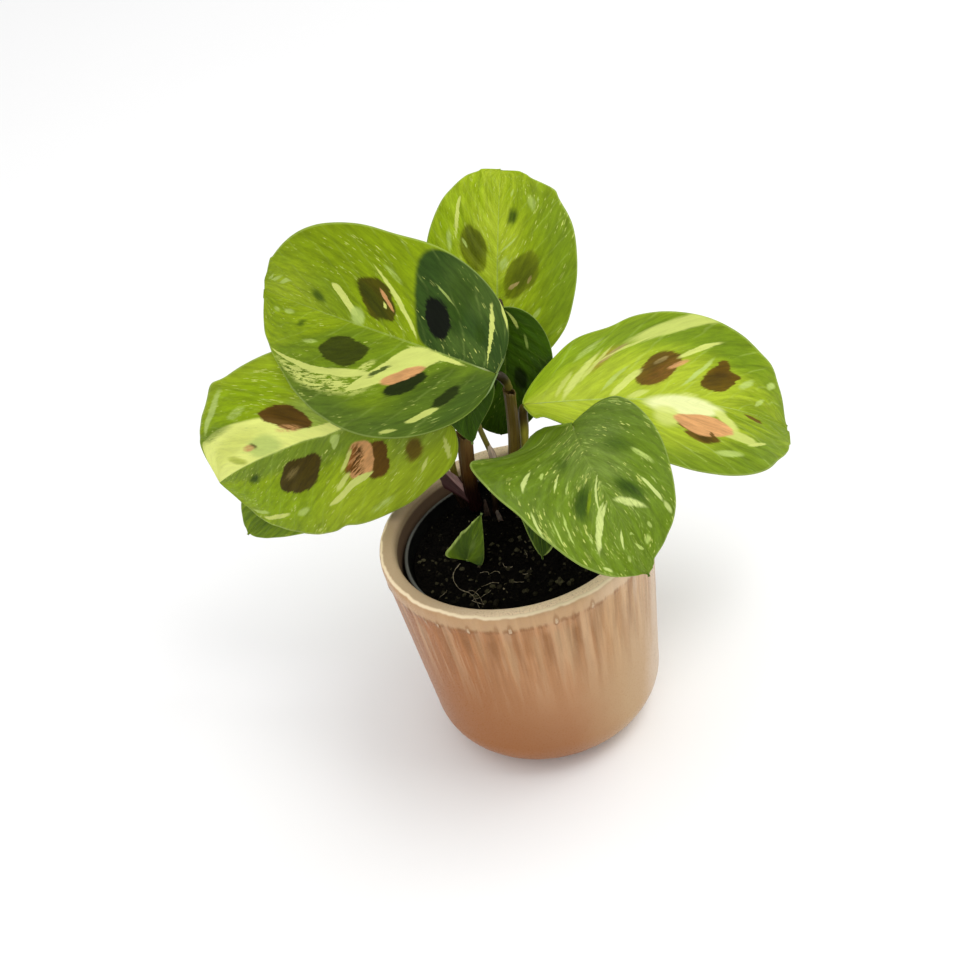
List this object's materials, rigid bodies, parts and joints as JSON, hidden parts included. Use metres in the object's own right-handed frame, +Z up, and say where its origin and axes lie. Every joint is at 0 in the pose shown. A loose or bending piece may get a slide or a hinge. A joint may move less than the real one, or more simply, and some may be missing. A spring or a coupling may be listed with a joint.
{
  "type": "potted prayer plant",
  "caption": "Variegated prayer plant with spreading patterned leaves, in a nursery pot inside a glazed stoneware cover pot that stands on its flat base.",
  "frame": {"origin": "centre of the cover pot's flat underside", "axes": "+Z up along the pot's axis, -Y towards the front, where the soil is open to view, +X to the viewer's right"},
  "size_m": [0.1764, 0.1256, 0.1507],
  "materials": {
    "glazed_stoneware": "satin",
    "grey_plastic": "satin",
    "peat": "matte",
    "root": "matte",
    "leaf": "satin",
    "shaded_leaf": "satin",
    "stalk": "satin",
    "sheath": "satin",
    "papery_scale": "matte"
  },
  "bodies": {
    "root": {"cover_pot": "glazed_stoneware", "nursery_pot": "grey_plastic", "potting_soil": "peat", "surface_root": "root", "leaf_large_left": "leaf", "leaf_upright_back": "leaf", "leaf_lower_left": "leaf", "leaf_behind_lower_left": "leaf", "leaf_right": "leaf", "leaf_young_soil": "leaf", "leaf_low_behind_front": "leaf", "leaf_shaded_middle": "shaded_leaf", "leaf_tucked_under": "shaded_leaf", "leaf_drooping_front": "shaded_leaf", "petiole_large_left": "stalk", "petiole_upright_back": "stalk", "petiole_shaded_middle": "stalk", "petiole_tucked_under": "stalk", "petiole_lower_left": "stalk", "petiole_behind_lower_left": "stalk", "petiole_right": "stalk", "petiole_drooping_front": "stalk", "petiole_low_behind_front": "stalk", "sheath_left": "sheath", "sheath_centre": "sheath", "papery_sheath_left": "papery_scale", "papery_sheath_small": "papery_scale", "papery_sheath_front": "papery_scale", "dry_bract": "papery_scale"}
  },
  "joints": []
}
